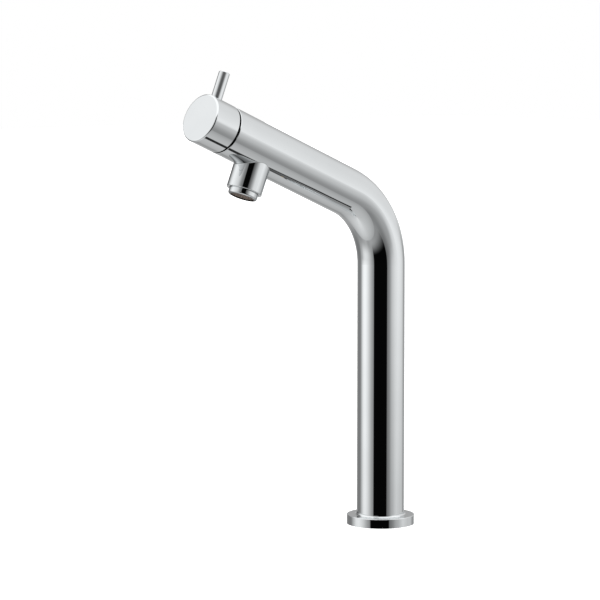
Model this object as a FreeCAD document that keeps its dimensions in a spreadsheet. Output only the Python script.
import FreeCAD, Part
import math
import os
import re
import Sketcher

from FreeCAD import Placement, Rotation, Vector

# Tall basin tap.
# A round column stands on a deck, bends forward and rises as an arm. The arm's end cap turns a
# quarter turn with a thin lever pin and opens a ceramic disc valve. The water leaves through a
# short nozzle under the arm.
# Origin: centre of the column on the deck. +Z is up and the outlet points towards -Y.

os.makedirs("parts", exist_ok=True)
doc = FreeCAD.newDocument("tall_basin_tap")

# Driving dimensions, in millimetres and degrees.
# Stations in the arm are measured from the flat face of the end cap, inward along the arm.
# Depths in the outlet are measured from the arm's axis, down along the nozzle.
SIZES = {
    # Outer body
    "tube_diameter": 32.0,
    "tube_wall": 2.0,
    "bend_start": 175.5,
    "bend_radius": 54.0,
    "arm_rise": 22.5,
    "arm_length": 132.5,
    "tube_edge": 0.3,
    "outlet_station": 51.4,
    "nozzle_diameter": 23.4,
    "nozzle_depth": 30.3,
    "nozzle_blend": 0.4,
    "nozzle_edge": 0.5,
    # End cap and lever pin
    "cap_length": 19.8,
    "cap_face_edge": 1.1,
    "cap_rear_edge": 0.3,
    "cap_front_wall": 4.0,
    "cap_rim_wall": 2.4,
    "boss_diameter": 15.0,
    "boss_depth": 17.0,
    "pin_diameter": 7.2,
    "pin_station": 8.0,
    "pin_height": 33.45,
    "pin_edge": 0.4,
    "pin_seat_height": 15.0,
    "pin_stud_diameter": 4.0,
    # Seam
    "seam_gap": 1.3,
    "glide_ring_inset": 1.4,
    "glide_ring_wall": 0.8,
    "glide_ring_spigot": 3.6,
    "seam_clearance": 0.1,
    # Foot
    "flange_diameter": 45.6,
    "flange_height": 6.2,
    "flange_edge": 0.35,
    "flange_ledge": 2.0,
    "flange_hole_diameter": 24.0,
    "cove_radius": 1.2,
    "cove_lip": 0.3,
    "cove_land": 0.15,
    "gasket_inset": 2.25,
    "gasket_width": 2.5,
    "gasket_depth": 1.5,
    "plug_web": 3.4,
    "shank_diameter": 20.955,
    "shank_bore_diameter": 13.0,
    "shank_engagement": 13.0,
    "shank_length": 60.0,
    "shank_end_chamfer": 1.0,
    "tail_length": 20.0,
    "relief_width": 2.0,
    "relief_depth": 1.2,
    "shank_washer_height": 1.6,
    "deck_grip": 18.0,
    "clamp_diameter": 38.0,
    "deck_gasket_height": 3.0,
    "fixing_washer_height": 1.5,
    "nut_across_flats": 30.0,
    "nut_height": 9.0,
    "nut_collar_diameter": 33.5,
    "nut_collar_height": 1.5,
    "nut_corner": 1.2,
    # Supply hose
    "hose_diameter": 12.0,
    "hose_bore_diameter": 9.0,
    "hose_passage_diameter": 6.4,
    "hose_nipple_length": 16.0,
    "hose_nipple_barbs": 4,
    "hose_nipple_barb": 0.35,
    "hose_end_gap": 1.0,
    "ferrule_wall": 0.8,
    "ferrule_length": 13.0,
    "ferrule_crimp": 0.35,
    # Valve housing
    "housing_front_station": 26.0,
    "seat_station": 63.0,
    "housing_end_station": 72.0,
    "housing_passage_diameter": 11.0,
    "gallery_diameter": 22.0,
    "gallery_front_station": 45.5,
    "gallery_end_station": 57.5,
    "ring_section": 1.6,
    "front_ring_station": 29.0,
    "rear_ring_station": 66.0,
    # Valve cartridge
    "cartridge_top_station": 21.6,
    "cartridge_across_flats": 22.0,
    "cartridge_corner": 0.8,
    "cartridge_thread_diameter": 20.955,
    "cartridge_thread_length": 10.0,
    "cartridge_land_diameter": 18.5,
    "cartridge_barrel_diameter": 18.0,
    "cartridge_ring_station": 39.5,
    "cavity_diameter": 15.4,
    "cavity_station": 42.3,
    "stop_zone_length": 3.7,
    "stop_bore_diameter": 10.6,
    "stop_half_angle": 22.0,
    "window_station": 46.6,
    "window_height": 6.0,
    "window_half_angle": 50.0,
    "disc_diameter": 15.0,
    "disc_height": 3.4,
    "disc_film": 0.02,
    "disc_port_inner": 1.5,
    "disc_port_outer": 6.2,
    "disc_port_half_angle": 42.0,
    "disc_key_width": 3.0,
    "disc_key_radius": 8.5,
    "seal_lip": 1.5,
    "seal_bore_diameter": 11.6,
    # Spindle
    "spindle_end_station": 4.6,
    "spindle_pilot_diameter": 6.5,
    "spindle_neck_diameter": 5.0,
    "spline_station": 10.9,
    "spline_end_station": 17.4,
    "spline_diameter": 8.0,
    "spline_tooth_height": 0.5,
    "spline_tip_width": 0.32,
    "spline_teeth": 20,
    "spline_root_gap": 0.2,
    "stem_diameter": 9.0,
    "stem_ring_station": 27.0,
    "stem_ring_pitch": 4.0,
    "stem_ring_section": 1.3,
    "clip_station": 20.0,
    "clip_height": 0.8,
    "clip_groove_diameter": 7.5,
    "clip_diameter": 12.0,
    "clip_half_opening": 35.0,
    "top_washer_height": 0.7,
    "top_washer_diameter": 14.0,
    "thrust_washer_height": 0.6,
    "drive_collar_diameter": 10.2,
    "drive_radius": 7.3,
    "stop_lug_angle": 135.0,
    "drive_web_width": 5.0,
    "drive_web_half_length": 6.8,
    "tongue_width": 3.0,
    "tongue_length": 2.4,
    "tongue_centre": 5.0,
    "tongue_depth": 1.4,
    # Outlet
    "nipple_top_depth": 11.4,
    "nipple_thread_diameter": 13.0,
    "nipple_head_diameter": 16.2,
    "nipple_head_height": 2.2,
    "nipple_socket_flats": 8.0,
    "nipple_socket_depth": 5.0,
    "nozzle_shoulder_depth": 16.5,
    "nipple_washer_height": 1.0,
    "aerator_thread_diameter": 18.5,
    "aerator_recess_depth": 1.5,
    "aerator_washer_height": 1.8,
    "aerator_washer_bore": 11.0,
    "aerator_ring_diameter": 19.2,
    "aerator_ring_end_depth": 34.2,
    "aerator_ring_edge": 1.2,
    "aerator_ring_bore": 16.6,
    "aerator_mouth_diameter": 15.6,
    "aerator_lip": 0.7,
    "aerator_flange_height": 1.4,
    "aerator_cup_wall": 1.0,
    "aerator_plate_height": 1.6,
    "aerator_jet_diameter": 1.2,
    "aerator_jet_circle": 9.6,
    "aerator_jets": 10,
    "mesh_height": 0.5,
    # Clearances
    "running_clearance": 0.05,
    "seat_clearance": 0.02,
    "thread_clearance": 0.03,
    "spline_clearance": 0.05,
    "key_clearance": 0.1,
}

# Sizes that follow from the driving ones.
DERIVED = {
    "tube_radius": "tube_diameter / 2",
    "bore_radius": "tube_radius - tube_wall",
    "arm_front_station": "cap_length + seam_gap",
    "turn": "90 - arm_rise",
    "bend_end_y": "-bend_radius * (1 - cos(turn))",
    "bend_end_z": "bend_start + bend_radius * sin(turn)",
    "head_y": "bend_end_y - arm_length * cos(arm_rise)",
    "head_z": "bend_end_z + arm_length * sin(arm_rise)",
    "outlet_y": "head_y + outlet_station * cos(arm_rise)",
    "outlet_z": "head_z - outlet_station * sin(arm_rise)",
    "pin_y": "head_y + pin_station * cos(arm_rise)",
    "pin_z": "head_z - pin_station * sin(arm_rise)",
    "cap_bore_radius": "tube_radius - cap_rim_wall",
    "gasket_radius": "flange_diameter / 2 - gasket_inset",
    "gasket_inner_radius": "gasket_radius - gasket_width",
    "shank_top_z": "flange_ledge + shank_engagement",
    "plug_seat_z": "shank_top_z + shank_washer_height",
    "plug_top_z": "plug_seat_z + plug_web",
    "shank_radius": "shank_diameter / 2",
    "nut_bore_radius": "shank_radius + thread_clearance",
    "deck_gasket_top_z": "-deck_grip",
    "washer_top_z": "deck_gasket_top_z - deck_gasket_height",
    "nut_top_z": "washer_top_z - fixing_washer_height",
    "hose_radius": "hose_diameter / 2",
    "hose_bore_radius": "hose_bore_diameter / 2",
    "hose_nipple_radius": "hose_bore_radius - seat_clearance",
    "hose_bottom_z": "plug_top_z + hose_end_gap",
    "hose_head_station": "housing_end_station + hose_end_gap",
    "housing_radius": "bore_radius - running_clearance",
    "cartridge_thread_radius": "cartridge_thread_diameter / 2",
    "cartridge_thread_end": "housing_front_station + cartridge_thread_length",
    "land_radius": "cartridge_land_diameter / 2",
    "barrel_radius": "cartridge_barrel_diameter / 2",
    "cavity_radius": "cavity_diameter / 2",
    "disc_radius": "disc_diameter / 2",
    "drive_top_station": "cavity_station + thrust_washer_height + key_clearance",
    "stop_end_station": "cavity_station + stop_zone_length",
    "fixed_disc_station": "seat_station - seal_lip - seal_lip - disc_height",
    "cartridge_end_station": "seat_station - seal_lip",
    "moving_disc_station": "fixed_disc_station - disc_film - disc_height",
    "drive_end_station": "moving_disc_station - disc_film",
    "web_station": "stop_end_station + key_clearance",
    "stem_radius": "stem_diameter / 2",
    "stem_bore_radius": "stem_radius + running_clearance",
    "spline_radius": "spline_diameter / 2",
    "spline_root_radius": "spline_radius - spline_tooth_height",
    "spline_notch_half": "pi * spline_radius / spline_teeth - spline_tip_width / 2",
    "nipple_thread_radius": "nipple_thread_diameter / 2",
    "nipple_hole_radius": "nipple_thread_radius + thread_clearance",
    "nipple_head_depth": "nozzle_shoulder_depth + nipple_washer_height",
    "aerator_washer_depth": "nipple_head_depth + nipple_head_height",
    "aerator_top_depth": "aerator_washer_depth + aerator_washer_height",
    "aerator_ring_top_depth": "aerator_top_depth + aerator_flange_height",
    "aerator_bore_radius": "aerator_thread_diameter / 2",
    "aerator_barrel_radius": "aerator_bore_radius - thread_clearance",
    "aerator_core_radius": "aerator_ring_bore / 2 - running_clearance",
    "aerator_recess_radius": "aerator_ring_diameter / 2 + 2 * key_clearance",
    "aerator_collar_depth": "nozzle_depth - aerator_recess_depth + key_clearance",
    "mesh_end_depth": "aerator_ring_end_depth - aerator_lip",
    "mesh_top_depth": "mesh_end_depth - mesh_height",
}

# Where the pieces of each group have their own origin, the turn about X that points their own Z
# along their axis, and whether that turn goes towards +X or -X.
# deck: the tap's own frame. arm: Z runs inward from the cap's face, Y towards the outlet.
# outlet: Z runs down the nozzle from the arm's axis. pin: Z runs up the lever from the arm's axis.
FRAMES = {
    "deck": ("0", "0", "0", 1),
    "arm": ("head_y", "head_z", "90 + arm_rise", -1),
    "arm_back": ("bend_end_y", "bend_end_z", "turn", 1),
    "outlet": ("outlet_y", "outlet_z", "180 - arm_rise", 1),
    "pin": ("pin_y", "pin_z", "arm_rise", -1),
}

sheet = doc.addObject("Spreadsheet::Sheet", "size")
for row, (alias, number) in enumerate(SIZES.items(), start=1):
    sheet.set(f"A{row}", alias)
    sheet.set(f"B{row}", str(number))
    sheet.setAlias(f"B{row}", alias)
doc.recompute()


def bound(text):
    """Write an expression of named sizes as one that reads the sheet's cells."""

    def cell(found):
        word = found.group(0)
        if word in DERIVED:
            return f"({bound(DERIVED[word])})"
        return f"size.{word}" if word in SIZES else word

    return re.sub(r"[a-z_]+", cell, text)


def value(text):
    """The present value of an expression of named sizes."""
    return float(sheet.evalExpression(bound(text)))


def set_frame(target, prop, frame, depth="0"):
    """Place an object in a frame, some depth along the frame's own Z axis, tied to the sheet."""
    origin_y, origin_z, angle, side = FRAMES[frame]
    shift_y = f"{origin_y} - ({side}) * sin({angle}) * ({depth})"
    shift_z = f"{origin_z} + cos({angle}) * ({depth})"
    lean = Rotation(Vector(side, 0, 0), value(angle))
    setattr(target, prop, Placement(Vector(0, value(shift_y), value(shift_z)), lean))
    target.setExpression(f".{prop}.Base.y", bound(shift_y))
    target.setExpression(f".{prop}.Base.z", bound(shift_z))
    if frame != "deck":
        target.setExpression(f".{prop}.Rotation.Angle", bound(angle))


def new_body(name, frame="deck"):
    """A piece with its own name that stands in one of the frames."""
    body = doc.addObject("PartDesign::Body", name)
    body.Label = name
    set_frame(body, "Placement", frame)
    return body


def new_sketch(body, name, plane="XY_Plane", depth="0", frame="deck"):
    """A sketch on one of the piece's own planes, some depth along its normal."""
    sketch = body.newObject("Sketcher::SketchObject", f"{body.Name}_{name}_sketch")
    origin = [item for item in body.Origin.OriginFeatures if item.Role == plane][0]
    sketch.AttachmentSupport = [(origin, "")]
    sketch.MapMode = "FlatFace"
    set_frame(sketch, "AttachmentOffset", frame, depth)
    return sketch


def fix_point(sketch, line, end, across, along):
    """Hold one end of a line or arc at a place given by two expressions."""
    for kind, text in (("DistanceX", across), ("DistanceY", along)):
        number = sketch.addConstraint(Sketcher.Constraint(kind, -1, 1, line, end, value(text)))
        sketch.setExpression(f"Constraints[{number}]", bound(text))


def fix_radius(sketch, curve, radius):
    """Give a circle or an arc the radius of an expression."""
    number = sketch.addConstraint(Sketcher.Constraint("Radius", curve, value(radius)))
    sketch.setExpression(f"Constraints[{number}]", bound(radius))


def add_outline(sketch, points):
    """A closed outline of straight lines through points given as pairs of expressions."""
    first = sketch.GeometryCount
    places = [Vector(value(across), value(along), 0) for across, along in points]
    count = len(points)
    for number in range(count):
        sketch.addGeometry(Part.LineSegment(places[number], places[(number + 1) % count]))
    for number, (across, along) in enumerate(points):
        after = first + (number + 1) % count
        sketch.addConstraint(Sketcher.Constraint("Coincident", first + number, 2, after, 1))
        fix_point(sketch, first + number, 1, across, along)


def turned_point(across, along, angle):
    """A point given by two expressions, turned about the origin by an angle."""
    turned_across = f"({across}) * cos({angle}) - ({along}) * sin({angle})"
    turned_along = f"({across}) * sin({angle}) + ({along}) * cos({angle})"
    return turned_across, turned_along


def add_rectangle(sketch, across, along):
    """A rectangle between two expressions across and two along."""
    left, right = across
    low, high = along
    add_outline(sketch, [(left, low), (right, low), (right, high), (left, high)])


def add_hexagon(sketch, flats):
    """A hexagon about the origin with a given size across its flats."""
    corner = f"{flats} / 2 / cos(30)"
    angles = [60 * number for number in range(6)]
    add_outline(sketch, [(f"{corner} * cos({angle})", f"{corner} * sin({angle})") for angle in angles])


def add_circle(sketch, radius, across="0", along="0"):
    """A circle whose radius and centre are expressions."""
    centre = Vector(value(across), value(along), 0)
    number = sketch.addGeometry(Part.Circle(centre, Vector(0, 0, 1), value(radius)))
    fix_point(sketch, number, 3, across, along)
    fix_radius(sketch, number, radius)


def add_sector(sketch, inner, outer, half_angle, middle="0"):
    """A sector of a ring: two arcs about the origin, joined by two straight sides."""
    low = f"({middle}) - ({half_angle})"
    high = f"({middle}) + ({half_angle})"
    corners = [
        (f"({radius}) * cos({angle})", f"({radius}) * sin({angle})")
        for radius, angle in ((inner, low), (outer, low), (outer, high), (inner, high))
    ]
    places = [Vector(value(across), value(along), 0) for across, along in corners]
    start, stop = math.radians(value(low)), math.radians(value(high))
    low_side = sketch.addGeometry(Part.LineSegment(places[0], places[1]))
    rim = Part.Circle(Vector(0, 0, 0), Vector(0, 0, 1), value(outer))
    outer_arc = sketch.addGeometry(Part.ArcOfCircle(rim, start, stop))
    high_side = sketch.addGeometry(Part.LineSegment(places[2], places[3]))
    core = Part.Circle(Vector(0, 0, 0), Vector(0, 0, 1), value(inner))
    inner_arc = sketch.addGeometry(Part.ArcOfCircle(core, start, stop))
    joins = [(low_side, 2, outer_arc, 1), (outer_arc, 2, high_side, 1)]
    joins += [(high_side, 2, inner_arc, 2), (inner_arc, 1, low_side, 1)]
    joins += [(outer_arc, 3, -1, 1), (inner_arc, 3, -1, 1)]
    for join in joins:
        sketch.addConstraint(Sketcher.Constraint("Coincident", *join))
    fix_point(sketch, low_side, 1, *corners[0])
    fix_point(sketch, low_side, 2, *corners[1])
    # The far side lies on a line through the centre, held by the coordinate that moves most.
    sketch.addConstraint(Sketcher.Constraint("PointOnObject", -1, 1, high_side))
    flat = abs(math.cos(stop)) > abs(math.sin(stop))
    kind, text = ("DistanceY", corners[2][1]) if flat else ("DistanceX", corners[2][0])
    number = sketch.addConstraint(Sketcher.Constraint(kind, -1, 1, high_side, 1, value(text)))
    sketch.setExpression(f"Constraints[{number}]", bound(text))


def extrude(body, name, sketch, length, cut=False, along_normal=True):
    """Pad or pocket a sketch by a length. A pad goes along the sketch's normal unless it is told not to."""
    feature = body.newObject("PartDesign::Pocket" if cut else "PartDesign::Pad", f"{body.Name}_{name}")
    feature.Profile = sketch
    feature.Length = value(length)
    feature.setExpression("Length", bound(length))
    feature.Reversed = along_normal if cut else not along_normal
    sketch.Visibility = False
    doc.recompute()
    return feature


def revolve(body, name, sketch, axis, angle="360", cut=False):
    """Revolve a sketch about one of its axes."""
    kind = "PartDesign::Groove" if cut else "PartDesign::Revolution"
    feature = body.newObject(kind, f"{body.Name}_{name}")
    feature.Profile = sketch
    feature.ReferenceAxis = (sketch, [axis])
    feature.Angle = value(angle)
    feature.setExpression("Angle", bound(angle))
    sketch.Visibility = False
    doc.recompute()
    return feature


def lathe(body, name, points, cut=False):
    """Turn an outline of (radius, depth) points about the piece's own Z axis."""
    sketch = new_sketch(body, name, plane="XZ_Plane")
    add_outline(sketch, points)
    return revolve(body, name, sketch, "V_Axis", cut=cut)


def ring(name, frame, inner, outer, top, bottom):
    """A plain ring between two radii and two depths."""
    body = new_body(name, frame)
    lathe(body, "ring", [(inner, top), (outer, top), (outer, bottom), (inner, bottom)])
    return body


def bent_run(body, name, radius, bottom, front_station, cut=False):
    """A round run up the column, round the bend and along the arm, added or cut away."""
    foot = new_sketch(body, f"{name}_column", depth=bottom)
    add_circle(foot, radius)
    extrude(body, f"{name}_column", foot, f"bend_start - ({bottom})", cut)
    bend = new_sketch(body, f"{name}_bend", depth="bend_start")
    add_circle(bend, radius)
    axis_ends = [Vector(side * value(radius), -value("bend_radius"), 0) for side in (-1, 1)]
    axis = bend.addGeometry(Part.LineSegment(*axis_ends), True)
    fix_point(bend, axis, 1, f"-({radius})", "-bend_radius")
    fix_point(bend, axis, 2, radius, "-bend_radius")
    revolve(body, f"{name}_bend", bend, "Axis0", "turn", cut)
    arm = new_sketch(body, f"{name}_arm", frame="arm_back")
    add_circle(arm, radius)
    return extrude(body, f"{name}_arm", arm, f"arm_length - ({front_station})", cut)


def circle_edges(feature, radius, centre):
    """The names of a feature's round edges of one radius about one point."""
    found = []
    for number, edge in enumerate(feature.Shape.Edges, start=1):
        curve = edge.Curve
        if not isinstance(curve, Part.Circle) or abs(curve.Radius - value(radius)) > 0.001:
            continue
        if curve.Center.distanceToPoint(centre) < 0.001:
            found.append(f"Edge{number}")
    return found


def seam_edges(feature):
    """The names of the edges where two round walls meet in neither a circle nor a line."""
    plain = (Part.Circle, Part.Line)
    edges = enumerate(feature.Shape.Edges, start=1)
    return [f"Edge{number}" for number, edge in edges if not isinstance(edge.Curve, plain)]


def on_axis(depth):
    """A point on the piece's own Z axis."""
    return Vector(0, 0, value(depth))


def in_frame(frame, depth):
    """A point some depth along a frame's Z axis."""
    origin_y, origin_z, angle, side = FRAMES[frame]
    down = value(depth)
    lean = math.radians(value(angle))
    shift_y = -side * math.sin(lean) * down
    shift_z = math.cos(lean) * down
    return Vector(0, value(origin_y) + shift_y, value(origin_z) + shift_z)


def soften(body, name, feature, edges, size, rounded=True):
    """Round or chamfer chosen edges of a feature."""
    if not edges:
        raise ValueError(f"{body.Name}: no edge found for {name}")
    kind = "PartDesign::Fillet" if rounded else "PartDesign::Chamfer"
    edge = body.newObject(kind, f"{body.Name}_{name}")
    edge.Base = (feature, edges)
    prop = "Radius" if rounded else "Size"
    setattr(edge, prop, value(size))
    edge.setExpression(prop, bound(size))
    doc.recompute()
    return edge


def repeat_round(body, name, feature, count):
    """Repeat a feature about the piece's own Z axis."""
    pattern = body.newObject("PartDesign::PolarPattern", f"{body.Name}_{name}")
    axis = [item for item in body.Origin.OriginFeatures if item.Role == "Z_Axis"][0]
    pattern.Originals = [feature]
    pattern.Axis = (axis, [""])
    pattern.Angle = 360
    pattern.Occurrences = int(value(count))
    pattern.setExpression("Occurrences", bound(count))
    body.Tip = pattern
    doc.recompute()
    return pattern


def bevel_corners(body, flats, face, corner):
    """Cut the corners of a hexagon back at its lower face, as a turned bevel."""
    inner = f"{flats} / 2 - {corner}"
    outer = f"{flats} / 2 / cos(30) + {corner}"
    low = f"{face} - {corner}"
    high = f"{face} + {corner}"
    lathe(body, "bevel", [(inner, low), (outer, low), (outer, high)], cut=True)


def round_rings(name, frame, section, outer, depths):
    """Round seal rings of one section, each with its top at a given depth, as one group."""
    tori = []
    for number, depth in enumerate(depths, start=1):
        torus = doc.addObject("Part::Torus", f"{name}_{number}")
        major, minor = f"{outer} - {section} / 2", f"{section} / 2"
        torus.Placement = Placement(on_axis(f"{depth} + {minor}"), Rotation())
        torus.setExpression("Radius1", bound(major))
        torus.setExpression("Radius2", bound(minor))
        torus.setExpression(".Placement.Base.z", bound(f"{depth} + {minor}"))
        tori.append(torus)
    group = doc.addObject("Part::Compound", name)
    group.Label = name
    group.Links = tori
    set_frame(group, "Placement", frame)
    doc.recompute()
    return group


def ring_groove(outer, section, depth):
    """The outline points of a groove that holds a round seal ring, from the top down."""
    root = f"{outer} - {section} - seat_clearance"
    start = f"{depth} - key_clearance"
    stop = f"{depth} + {section} + key_clearance"
    return root, start, stop


def barbs(base):
    """The outline points of a hose nipple's barbs, from its base to its tip."""
    crest = "hose_nipple_radius"
    root = "hose_nipple_radius - hose_nipple_barb"
    count = SIZES["hose_nipple_barbs"]
    pitch = "hose_nipple_length / hose_nipple_barbs"
    points = []
    for number in range(count):
        points.append((crest, f"{base} + {number} * {pitch}"))
        points.append((root, f"{base} + {number + 1} * {pitch}"))
    return points


# Outer pieces


def make_body_tube():
    """The hollow chromed body: column, bend, arm and outlet nozzle in one piece."""
    body = new_body("body_tube")
    bent_run(body, "outer", "tube_radius", "flange_ledge", "arm_front_station")
    nozzle = new_sketch(body, "nozzle", frame="outlet")
    add_circle(nozzle, "nozzle_diameter / 2")
    joined = extrude(body, "nozzle", nozzle, "nozzle_depth")
    blend = soften(body, "nozzle_blend", joined, seam_edges(joined), "nozzle_blend")
    rim = circle_edges(blend, "nozzle_diameter / 2", in_frame("outlet", "nozzle_depth"))
    soften(body, "nozzle_edge", blend, rim, "nozzle_edge")
    bent_run(body, "bore", "bore_radius", "flange_ledge", "0", cut=True)
    for name, radius, depth in (
        ("nipple_hole", "nipple_hole_radius", "nipple_top_depth"),
        ("aerator_hole", "aerator_bore_radius", "nozzle_shoulder_depth"),
        ("aerator_recess", "aerator_recess_radius", "nozzle_depth - aerator_recess_depth"),
    ):
        hole = new_sketch(body, name, frame="outlet", depth="nozzle_depth")
        add_circle(hole, radius)
        opened = extrude(body, name, hole, f"nozzle_depth - ({depth})", cut=True, along_normal=False)
    front = circle_edges(opened, "tube_radius", in_frame("arm", "arm_front_station"))
    soften(body, "front_edge", opened, front, "tube_edge", rounded=False)


def make_base_flange():
    """The foot flange: a ledge carries the column, a cove rises to it, a groove holds the gasket."""
    body = new_body("base_flange")
    column = "tube_radius + seat_clearance"
    lip = "tube_radius + cove_lip"
    top = "flange_height + cove_radius + cove_land"
    turned = lathe(
        body,
        "flange",
        [
            ("flange_hole_diameter / 2", "0"),
            ("gasket_inner_radius", "0"),
            ("gasket_inner_radius", "gasket_depth"),
            ("gasket_radius", "gasket_depth"),
            ("gasket_radius", "0"),
            ("flange_diameter / 2", "0"),
            ("flange_diameter / 2", "flange_height"),
            (lip, "flange_height"),
            (lip, top),
            (column, top),
            (column, "flange_ledge"),
            ("flange_hole_diameter / 2", "flange_ledge"),
        ],
    )
    inner_corner = circle_edges(turned, lip, on_axis("flange_height"))
    cove = soften(body, "cove", turned, inner_corner, "cove_radius")
    rim = circle_edges(cove, "flange_diameter / 2", on_axis("flange_height"))
    soften(body, "rim_edge", cove, rim, "flange_edge")


def make_handle_cap():
    """The end cap: a cup with a central boss whose splined socket drives the spindle."""
    body = new_body("handle_cap", "arm")
    pilot = "spindle_pilot_diameter / 2 + running_clearance"
    boss = "boss_diameter / 2"
    socket = "spline_root_radius + spline_root_gap"
    pilot_end = "spindle_end_station - key_clearance"
    turned = lathe(
        body,
        "cup",
        [
            ("0", "0"),
            ("tube_radius", "0"),
            ("tube_radius", "cap_length"),
            ("cap_bore_radius", "cap_length"),
            ("cap_bore_radius", "cap_front_wall"),
            (boss, "cap_front_wall"),
            (boss, "boss_depth"),
            (socket, "boss_depth"),
            (socket, "spline_station"),
            (pilot, "spline_station"),
            (pilot, pilot_end),
            ("0", pilot_end),
        ],
    )
    face = circle_edges(turned, "tube_radius", on_axis("0"))
    softened = soften(body, "face_edge", turned, face, "cap_face_edge")
    rear = circle_edges(softened, "tube_radius", on_axis("cap_length"))
    soften(body, "rear_edge", softened, rear, "cap_rear_edge", rounded=False)
    for name, radius, start in (
        ("stud_hole", "pin_stud_diameter / 2 + thread_clearance", "0"),
        ("pin_seat", "pin_diameter / 2 + seat_clearance", "pin_seat_height"),
    ):
        hole = new_sketch(body, name, plane="XZ_Plane", depth=start)
        add_circle(hole, radius, "0", "pin_station")
        extrude(body, name, hole, "tube_radius", cut=True)
    tooth = new_sketch(body, "spline", depth="spline_station")
    rim = "spline_radius + spline_clearance"
    rim_half = "spline_tip_width / 2 + spline_clearance"
    mouth = f"pi * ({socket}) / spline_teeth"
    mouth_half = f"{mouth} - spline_notch_half * spline_root_gap / spline_tooth_height + spline_clearance"
    inside = f"{socket} - spline_root_gap"
    add_outline(
        tooth,
        [
            (inside, f"-({mouth_half})"),
            (socket, f"-({mouth_half})"),
            (rim, f"-({rim_half})"),
            (rim, rim_half),
            (socket, mouth_half),
            (inside, mouth_half),
        ],
    )
    notch = extrude(body, "spline", tooth, "boss_depth - spline_station", cut=True)
    repeat_round(body, "splines", notch, "spline_teeth")


def make_lever_pin():
    """The lever: a thin round pin whose threaded stud passes through the cap into the spindle's neck."""
    body = new_body("lever_pin", "pin")
    stud = "pin_stud_diameter / 2"
    tip = "spindle_neck_diameter / 2 + key_clearance"
    shaft = "pin_diameter / 2"
    points = [("0", tip), (stud, tip), (stud, "pin_seat_height"), (shaft, "pin_seat_height")]
    points += [(shaft, "pin_height - pin_edge"), (f"{shaft} - pin_edge", "pin_height"), ("0", "pin_height")]
    lathe(body, "pin", points)


def make_glide_ring():
    """The black ring in the seam: a spigot in the arm's bore and a flange between arm and cap."""
    body = new_body("glide_ring", "arm")
    inner = "bore_radius - glide_ring_wall"
    spigot = "bore_radius - seat_clearance"
    flange = "tube_radius - glide_ring_inset"
    end = "arm_front_station + glide_ring_spigot"
    points = [(inner, "cap_length + seam_clearance"), (flange, "cap_length + seam_clearance")]
    points += [(flange, "arm_front_station"), (spigot, "arm_front_station"), (spigot, end), (inner, end)]
    lathe(body, "ring", points)


# Foot and clamp


def make_foot_plug():
    """The plug brazed into the column's foot: thread for the shank, seat, and a hose nipple on top."""
    body = new_body("foot_plug")
    outer = "bore_radius - seat_clearance"
    thread = "shank_radius + thread_clearance"
    passage = "hose_passage_diameter / 2"
    nipple_end = "plug_top_z + hose_nipple_length"
    points = [(thread, "flange_ledge"), (outer, "flange_ledge"), (outer, "plug_top_z")]
    points += barbs("plug_top_z")
    points += [(passage, nipple_end), (passage, "plug_seat_z"), (thread, "plug_seat_z")]
    lathe(body, "plug", points)


def make_shank():
    """The threaded shank through the deck, with a relief groove above the inlet tail."""
    body = new_body("shank")
    bore = "shank_bore_diameter / 2"
    relief = "shank_radius - relief_depth"
    tail_top = "tail_length - shank_length"
    points = [(bore, "-shank_length"), ("shank_radius - shank_end_chamfer", "-shank_length")]
    points += [("shank_radius", "shank_end_chamfer - shank_length"), ("shank_radius", tail_top)]
    relief_top = f"{tail_top} + relief_width"
    points += [(relief, tail_top), (relief, relief_top), ("shank_radius", relief_top)]
    points += [("shank_radius", "shank_top_z"), (bore, "shank_top_z")]
    lathe(body, "shank", points)


def make_foot_rings():
    """The gasket in the flange, the seal on the shank, and the gasket and washer under the deck."""
    clear = "nut_bore_radius + key_clearance"
    outer = "clamp_diameter / 2"
    gasket_outer = "gasket_radius - seat_clearance"
    gasket_inner = "gasket_inner_radius + seat_clearance"
    ring("base_gasket", "deck", gasket_inner, gasket_outer, "0", "gasket_depth")
    ring("shank_washer", "deck", "shank_bore_diameter / 2", "shank_radius", "shank_top_z", "plug_seat_z")
    ring("deck_gasket", "deck", clear, outer, "deck_gasket_top_z", "washer_top_z")
    ring("fixing_washer", "deck", clear, outer, "washer_top_z", "nut_top_z")


def make_fixing_nut():
    """The hexagon nut on the shank, with a round collar towards the washer and cut corners below."""
    body = new_body("fixing_nut")
    bottom = "nut_top_z - nut_height"
    collar = new_sketch(body, "collar", depth="nut_top_z")
    add_circle(collar, "nut_collar_diameter / 2")
    extrude(body, "collar", collar, "nut_collar_height", along_normal=False)
    hexagon = new_sketch(body, "hexagon", depth=bottom)
    add_hexagon(hexagon, "nut_across_flats")
    extrude(body, "hexagon", hexagon, "nut_height - nut_collar_height")
    bevel_corners(body, "nut_across_flats", bottom, "nut_corner")
    bore = new_sketch(body, "bore", depth=bottom)
    add_circle(bore, "nut_bore_radius")
    extrude(body, "bore", bore, "nut_height", cut=True)


# Water way


def make_supply_hose():
    """The inner hose: up the column, round the bend and along the arm to the valve."""
    body = new_body("supply_hose")
    bent_run(body, "outer", "hose_radius", "hose_bottom_z", "hose_head_station")
    bent_run(body, "bore", "hose_bore_radius", "hose_bottom_z", "hose_head_station", cut=True)


def make_ferrule(name, frame, start):
    """A sleeve crimped round a hose end, with two pressed-in bands."""
    body = new_body(name, frame)
    inner = "hose_radius + seat_clearance"
    outer = f"{inner} + ferrule_wall"
    band = f"{outer} - ferrule_crimp"
    step = "ferrule_length / 5"
    points = [(inner, start), (outer, start)]
    for number, (first, second) in enumerate(2 * ((outer, band), (band, outer)), start=1):
        edge = f"{start} + {number} * {step}"
        points.append((first, edge))
        points.append((second, edge))
    points += [(outer, f"{start} + ferrule_length"), (inner, f"{start} + ferrule_length")]
    lathe(body, "sleeve", points)


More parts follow.
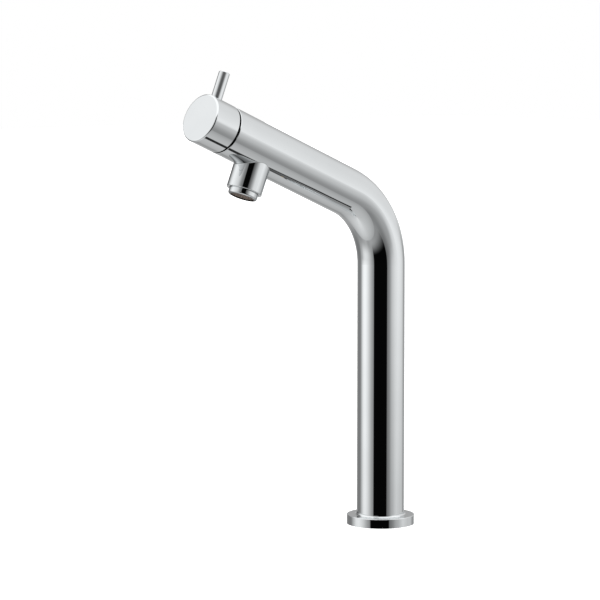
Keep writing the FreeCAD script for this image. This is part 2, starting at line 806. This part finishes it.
def make_valve_housing():
    """The brass block in the arm: cartridge thread, gallery, seat, outlet port and hose nipple."""
    body = new_body("valve_housing", "arm")
    thread = "cartridge_thread_radius + thread_clearance"
    land = "land_radius + running_clearance"
    passage = "housing_passage_diameter / 2"
    hose = "hose_passage_diameter / 2"
    gallery = "gallery_diameter / 2"
    passage_end = "(seat_station + housing_end_station) / 2"
    nipple_end = "housing_end_station + hose_nipple_length"
    points = [(thread, "housing_front_station"), ("housing_radius", "housing_front_station")]
    for station in ("front_ring_station", "rear_ring_station"):
        root, start, stop = ring_groove("bore_radius - seat_clearance", "ring_section", station)
        points += [("housing_radius", start), (root, start), (root, stop), ("housing_radius", stop)]
    points.append(("housing_radius", "housing_end_station"))
    points += barbs("housing_end_station")
    points += [(hose, nipple_end), (hose, passage_end), (passage, passage_end), (passage, "seat_station")]
    points += [(land, "seat_station"), (land, "gallery_end_station")]
    points += [(gallery, "gallery_end_station"), (gallery, "gallery_front_station")]
    points += [(land, "gallery_front_station"), (land, "cartridge_thread_end")]
    points.append((thread, "cartridge_thread_end"))
    lathe(body, "housing", points)
    port = new_sketch(body, "port", plane="XZ_Plane")
    add_circle(port, "nipple_hole_radius", "0", "outlet_station")
    extrude(body, "port", port, "tube_radius", cut=True, along_normal=False)


def make_cartridge_body():
    """The valve's screwed body: hexagon, thread, stem bore, disc cavity, windows and stop ribs."""
    body = new_body("cartridge_body", "arm")
    head = new_sketch(body, "head", depth="cartridge_top_station")
    add_hexagon(head, "cartridge_across_flats")
    extrude(body, "head", head, "housing_front_station - cartridge_top_station")
    bevel_corners(body, "cartridge_across_flats", "cartridge_top_station", "cartridge_corner")
    ring_outer = "land_radius + running_clearance - seat_clearance"
    root, start, stop = ring_groove(ring_outer, "ring_section", "cartridge_ring_station")
    points = [("0", "housing_front_station"), ("cartridge_thread_radius", "housing_front_station")]
    points += [("cartridge_thread_radius", "cartridge_thread_end"), ("land_radius", "cartridge_thread_end")]
    points += [("land_radius", start), (root, start), (root, stop), ("land_radius", stop)]
    points += [("land_radius", "gallery_front_station"), ("barrel_radius", "gallery_front_station")]
    points += [("barrel_radius", "cartridge_end_station"), ("0", "cartridge_end_station")]
    lathe(body, "barrel", points)
    below = "cartridge_end_station + key_clearance"
    above = "cartridge_top_station - key_clearance"
    bore = [("0", above), ("stem_bore_radius", above), ("stem_bore_radius", "cavity_station")]
    bore += [("cavity_radius", "cavity_station"), ("cavity_radius", below), ("0", below)]
    lathe(body, "bore", bore, cut=True)
    ribs = new_sketch(body, "stop_ribs", depth="cavity_station")
    windows = new_sketch(body, "windows", depth="window_station")
    keys = new_sketch(body, "key_slots", depth="fixed_disc_station")
    for middle, side in (("0", ""), ("180", "-")):
        rib_outer = "cavity_radius + key_clearance"
        add_sector(ribs, "stop_bore_diameter / 2", rib_outer, "stop_half_angle", middle)
        inner, outer = "cavity_radius - key_clearance", "barrel_radius + key_clearance"
        add_sector(windows, inner, outer, "window_half_angle", f"{middle} + 90")
        half = "disc_key_width / 2 + key_clearance"
        slot = (f"{side}(cavity_radius - 1)", f"{side}(barrel_radius + 1)")
        add_rectangle(keys, (f"-({half})", half), slot)
    extrude(body, "stop_ribs", ribs, "stop_zone_length")
    extrude(body, "windows", windows, "window_height", cut=True)
    extrude(body, "key_slots", keys, "cartridge_end_station - fixed_disc_station + 1", cut=True)


def make_seat_seal():
    """The rubber seat: a lip that presses on the housing and a sleeve under the fixed disc."""
    body = new_body("seat_seal", "arm")
    inner = "seal_bore_diameter / 2"
    sleeve = "disc_radius"
    flange = "barrel_radius - key_clearance"
    top = "cartridge_end_station - seal_lip"
    points = [(inner, top), (sleeve, top), (sleeve, "cartridge_end_station")]
    points += [(flange, "cartridge_end_station"), (flange, "seat_station"), (inner, "seat_station")]
    lathe(body, "seal", points)


def make_fixed_disc():
    """The lower ceramic disc: two ports and two keys that hold it in the cartridge."""
    body = new_body("fixed_disc", "arm")
    face = new_sketch(body, "face", depth="fixed_disc_station")
    keys = new_sketch(body, "keys", depth="fixed_disc_station")
    add_circle(face, "disc_radius")
    for middle, side in (("0", ""), ("180", "-")):
        add_sector(face, "disc_port_inner", "disc_port_outer", "disc_port_half_angle", middle)
        reach = (f"{side}(disc_radius - 1)", f"{side}disc_key_radius")
        add_rectangle(keys, ("-disc_key_width / 2", "disc_key_width / 2"), reach)
    extrude(body, "face", face, "disc_height")
    extrude(body, "keys", keys, "disc_height")


def make_moving_disc():
    """The upper ceramic disc: its ports lie over the fixed disc's lands while the tap is closed."""
    body = new_body("moving_disc", "arm")
    face = new_sketch(body, "face", depth="moving_disc_station")
    slots = new_sketch(body, "slots", depth="moving_disc_station")
    add_circle(face, "disc_radius")
    half_width = "tongue_width / 2 + key_clearance"
    half_length = "tongue_length / 2 + key_clearance"
    for middle, side in (("90", ""), ("270", "-")):
        add_sector(face, "disc_port_inner", "disc_port_outer", "disc_port_half_angle", middle)
        centre = f"{side}tongue_centre"
        across = (f"{centre} - ({half_length})", f"{centre} + {half_length}")
        add_rectangle(slots, across, (f"-({half_width})", half_width))
    extrude(body, "face", face, "disc_height")
    extrude(body, "slots", slots, "tongue_depth + key_clearance", cut=True)


def make_spindle():
    """The spindle: pilot and neck for the lever's stud, splines, sealed stem, stop lugs and drive."""
    body = new_body("spindle", "arm")
    pilot = "spindle_pilot_diameter / 2"
    neck = "spindle_neck_diameter / 2"
    neck_half = "(pin_stud_diameter / 2 + key_clearance)"
    clip = "clip_groove_diameter / 2"
    collar = "drive_collar_diameter / 2"
    clip_end = "clip_station + clip_height + seat_clearance"
    points = [("0", "spindle_end_station"), (pilot, "spindle_end_station")]
    points += [(pilot, f"pin_station - {neck_half}"), (neck, f"pin_station - {neck_half}")]
    points += [(neck, f"pin_station + {neck_half}"), (pilot, f"pin_station + {neck_half}")]
    points += [(pilot, "spline_station"), ("spline_radius", "spline_station")]
    points += [("spline_radius", "spline_end_station"), ("stem_radius", "spline_end_station")]
    points += [("stem_radius", "clip_station - seat_clearance"), (clip, "clip_station - seat_clearance")]
    points += [(clip, clip_end), ("stem_radius", clip_end)]
    for number in range(2):
        station = f"stem_ring_station + {number} * stem_ring_pitch"
        root, start, stop = ring_groove("stem_bore_radius - seat_clearance", "stem_ring_section", station)
        points += [("stem_radius", start), (root, start), (root, stop), ("stem_radius", stop)]
    points += [("stem_radius", "drive_top_station"), (collar, "drive_top_station")]
    points += [(collar, "web_station"), ("0", "web_station")]
    lathe(body, "stem", points)
    lugs = new_sketch(body, "stop_lugs", depth="drive_top_station")
    web = new_sketch(body, "web", depth="web_station")
    tongues = new_sketch(body, "tongues", depth="drive_end_station")
    for side, middle in (("", "stop_lug_angle"), ("-", "stop_lug_angle + 180")):
        add_sector(lugs, f"{collar} - key_clearance", "drive_radius", "stop_half_angle", middle)
        centre = f"{side}tongue_centre"
        across = (f"{centre} - tongue_length / 2", f"{centre} + tongue_length / 2")
        add_rectangle(tongues, across, ("-tongue_width / 2", "tongue_width / 2"))
    reach = ("-drive_web_half_length", "drive_web_half_length")
    add_rectangle(web, reach, ("-drive_web_width / 2", "drive_web_width / 2"))
    extrude(body, "stop_lugs", lugs, "stop_end_station - drive_top_station")
    extrude(body, "web", web, "drive_end_station - web_station")
    extrude(body, "tongues", tongues, "moving_disc_station + tongue_depth - drive_end_station")
    groove = new_sketch(body, "spline", depth="spline_station")
    proud = "spline_tooth_height + key_clearance"
    flare = f"spline_notch_half * ({proud}) / spline_tooth_height"
    rim = f"spline_root_radius + {proud}"
    corners = [("spline_root_radius", "0"), (rim, f"-({flare})"), (rim, flare)]
    add_outline(groove, [turned_point(*corner, "180 / spline_teeth") for corner in corners])
    notch = extrude(body, "spline", groove, "spline_end_station - spline_station", cut=True)
    repeat_round(body, "splines", notch, "spline_teeth")


def make_spindle_clip():
    """The open spring clip in the spindle's groove."""
    body = new_body("spindle_clip", "arm")
    clip = new_sketch(body, "clip", depth="clip_station")
    inner = "clip_groove_diameter / 2 + seat_clearance"
    add_sector(clip, inner, "clip_diameter / 2", "180 - clip_half_opening")
    extrude(body, "clip", clip, "clip_height")


def make_valve_rings():
    """The washers on the spindle and the round seal rings of housing, cartridge and spindle."""
    washer_top = "cartridge_top_station - top_washer_height"
    washer_outer = "top_washer_diameter / 2"
    washer_end = "cavity_station + thrust_washer_height"
    thrust_outer = "stop_bore_diameter / 2 - key_clearance"
    ring("top_washer", "arm", "stem_bore_radius", washer_outer, washer_top, "cartridge_top_station")
    ring("thrust_washer", "arm", "stem_bore_radius", thrust_outer, "cavity_station", washer_end)
    bore = "bore_radius - seat_clearance"
    round_rings("housing_o_rings", "arm", "ring_section", bore, ["front_ring_station", "rear_ring_station"])
    land = "land_radius + running_clearance - seat_clearance"
    round_rings("cartridge_o_ring", "arm", "ring_section", land, ["cartridge_ring_station"])
    stem = "stem_bore_radius - seat_clearance"
    stations = ["stem_ring_station", "stem_ring_station + stem_ring_pitch"]
    round_rings("spindle_o_rings", "arm", "stem_ring_section", stem, stations)


# Outlet


def make_outlet_nipple():
    """The hollow screw that carries the water into the nozzle and holds the housing in the arm."""
    body = new_body("outlet_nipple", "outlet")
    passage = "nipple_socket_flats / 2 - key_clearance"
    head = "nipple_head_diameter / 2"
    points = [(passage, "nipple_top_depth"), ("nipple_thread_radius", "nipple_top_depth")]
    points += [("nipple_thread_radius", "nipple_head_depth"), (head, "nipple_head_depth")]
    points += [(head, "aerator_washer_depth"), (passage, "aerator_washer_depth")]
    lathe(body, "nipple", points)
    socket = new_sketch(body, "socket", depth="aerator_washer_depth")
    add_hexagon(socket, "nipple_socket_flats")
    extrude(body, "socket", socket, "nipple_socket_depth", cut=True, along_normal=False)


def make_outlet_rings():
    """The flat seals above and below the nipple's head."""
    head = "nipple_head_diameter / 2"
    top = "nozzle_shoulder_depth"
    ring("nipple_washer", "outlet", "nipple_hole_radius", head, top, "nipple_head_depth")
    outer = "aerator_bore_radius - key_clearance"
    inner = "aerator_washer_bore / 2"
    ring("aerator_washer", "outlet", inner, outer, "aerator_washer_depth", "aerator_top_depth")


def make_aerator_core():
    """The aerator's insert: a flanged cup with a plate of small jets."""
    body = new_body("aerator_core", "outlet")
    flange = "aerator_barrel_radius - key_clearance"
    inner = "aerator_core_radius - aerator_cup_wall"
    plate_end = "aerator_top_depth + aerator_plate_height"
    points = [("0", "aerator_top_depth"), (flange, "aerator_top_depth"), (flange, "aerator_ring_top_depth")]
    points += [("aerator_core_radius", "aerator_ring_top_depth"), ("aerator_core_radius", "mesh_top_depth")]
    points += [(inner, "mesh_top_depth"), (inner, plate_end), ("0", plate_end)]
    lathe(body, "cup", points)
    jet = new_sketch(body, "jet", depth="aerator_top_depth")
    add_circle(jet, "aerator_jet_diameter / 2", "aerator_jet_circle / 2")
    hole = extrude(body, "jet", jet, "aerator_plate_height", cut=True)
    repeat_round(body, "jets", hole, "aerator_jets")


def make_aerator_mesh():
    """The gauze disc in the mouth, between the insert and the ring's lip."""
    body = new_body("aerator_mesh", "outlet")
    disc = new_sketch(body, "disc", depth="mesh_top_depth")
    add_circle(disc, "aerator_core_radius")
    extrude(body, "disc", disc, "mesh_height")


def make_aerator_ring():
    """The chromed ring: a threaded barrel in the nozzle, a collar with a round rim and an inner lip."""
    body = new_body("aerator_ring", "outlet")
    bore = "aerator_ring_bore / 2"
    collar = "aerator_ring_diameter / 2"
    mouth = "aerator_mouth_diameter / 2"
    end = "aerator_ring_end_depth"
    points = [(bore, "aerator_ring_top_depth"), ("aerator_barrel_radius", "aerator_ring_top_depth")]
    points += [("aerator_barrel_radius", "aerator_collar_depth"), (collar, "aerator_collar_depth")]
    points += [(collar, end), (mouth, end), (mouth, "mesh_end_depth"), (bore, "mesh_end_depth")]
    turned = lathe(body, "ring", points)
    rim = circle_edges(turned, collar, on_axis(end))
    soften(body, "ring_edge", turned, rim, "aerator_ring_edge")


make_body_tube()
make_base_flange()
make_handle_cap()
make_lever_pin()
make_glide_ring()
make_foot_plug()
make_shank()
make_foot_rings()
make_fixing_nut()
make_supply_hose()
make_ferrule("foot_ferrule", "deck", "hose_bottom_z")
make_ferrule("head_ferrule", "arm", "hose_head_station")
make_valve_housing()
make_cartridge_body()
make_seat_seal()
make_fixed_disc()
make_moving_disc()
make_spindle()
make_spindle_clip()
make_valve_rings()
make_outlet_nipple()
make_outlet_rings()
make_aerator_core()
make_aerator_mesh()
make_aerator_ring()
doc.recompute()

# Every feature must have worked before any file is written.
failed = [item.Name for item in doc.Objects if {"Invalid", "Error"} & set(item.State)]
if failed:
    raise RuntimeError(f"these did not build: {failed}")
pieces = [item for item in doc.Objects if item.TypeId in ("PartDesign::Body", "Part::Compound")]
for piece in pieces:
    if piece.Shape.isNull() or not piece.Shape.isValid():
        raise RuntimeError(f"{piece.Label} has no valid shape")
for piece in pieces:
    piece.Shape.exportStep(f"parts/{piece.Label}.step")
    print(f"{piece.Label}: {len(piece.Shape.Solids)} solid, {piece.Shape.Volume:.1f} mm3")
